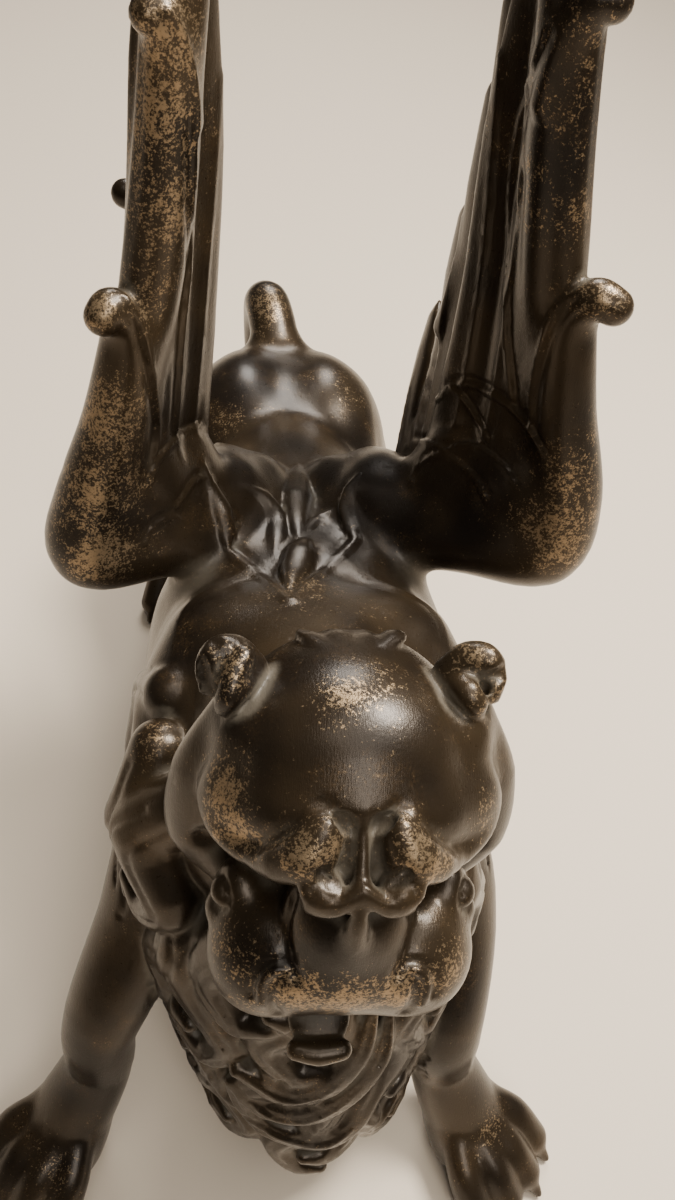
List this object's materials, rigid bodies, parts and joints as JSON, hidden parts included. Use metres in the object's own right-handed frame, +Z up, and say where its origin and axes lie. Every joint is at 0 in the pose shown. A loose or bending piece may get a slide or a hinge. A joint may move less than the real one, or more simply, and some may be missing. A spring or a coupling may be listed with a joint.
{
  "type": "winged lion statue",
  "caption": "Small cast bronze griffin: a standing winged lion with a lobed brow, scrolled ears, a put-out tongue, a curled mane and tall upright wings.",
  "frame": {"origin": "on the ground, at the middle of the figure's outline seen from above", "axes": "+Z up, the griffin looks along -Y, its left side is towards +X"},
  "size_m": [0.1274, 0.2322, 0.2398],
  "materials": {
    "bronze": "dark brown-black patina, worn to golden brown on the high points, hand chased"
  },
  "bodies": {
    "root": {"griffin": "bronze"}
  },
  "joints": []
}
